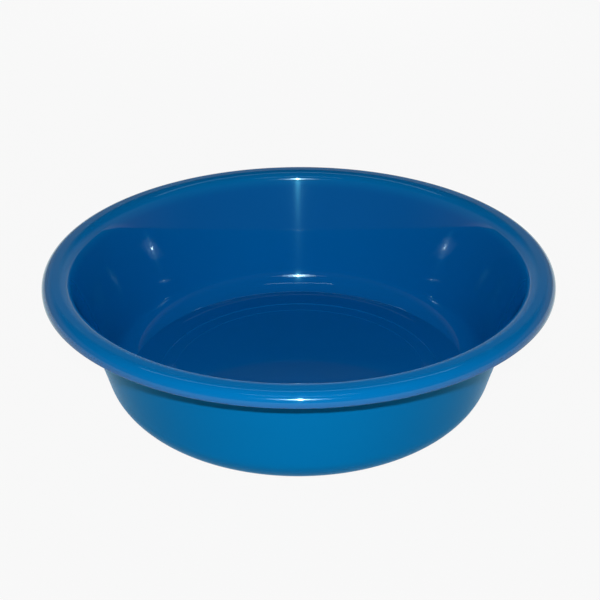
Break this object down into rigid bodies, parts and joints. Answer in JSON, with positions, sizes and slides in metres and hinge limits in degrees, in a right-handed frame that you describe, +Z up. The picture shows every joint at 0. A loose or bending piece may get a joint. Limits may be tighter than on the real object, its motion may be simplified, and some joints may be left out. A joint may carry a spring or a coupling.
{
  "type": "washing up bowl",
  "caption": "Round washing up bowl moulded in glossy blue plastic, with a rolled rim open underneath, flaring wall, rounded cove, ringed flat floor and stand ring.",
  "frame": {"origin": "middle of the face of the stand ring that the bowl rests on", "axes": "+Z up along the bowl's axis of turning, towards its open mouth; X and Y are level and interchangeable"},
  "size_m": [0.3599, 0.36, 0.099],
  "materials": {
    "bowl_plastic": "glossy moulded polypropylene, plain mid blue"
  },
  "bodies": {
    "root": {"bowl": "bowl_plastic"}
  },
  "joints": []
}
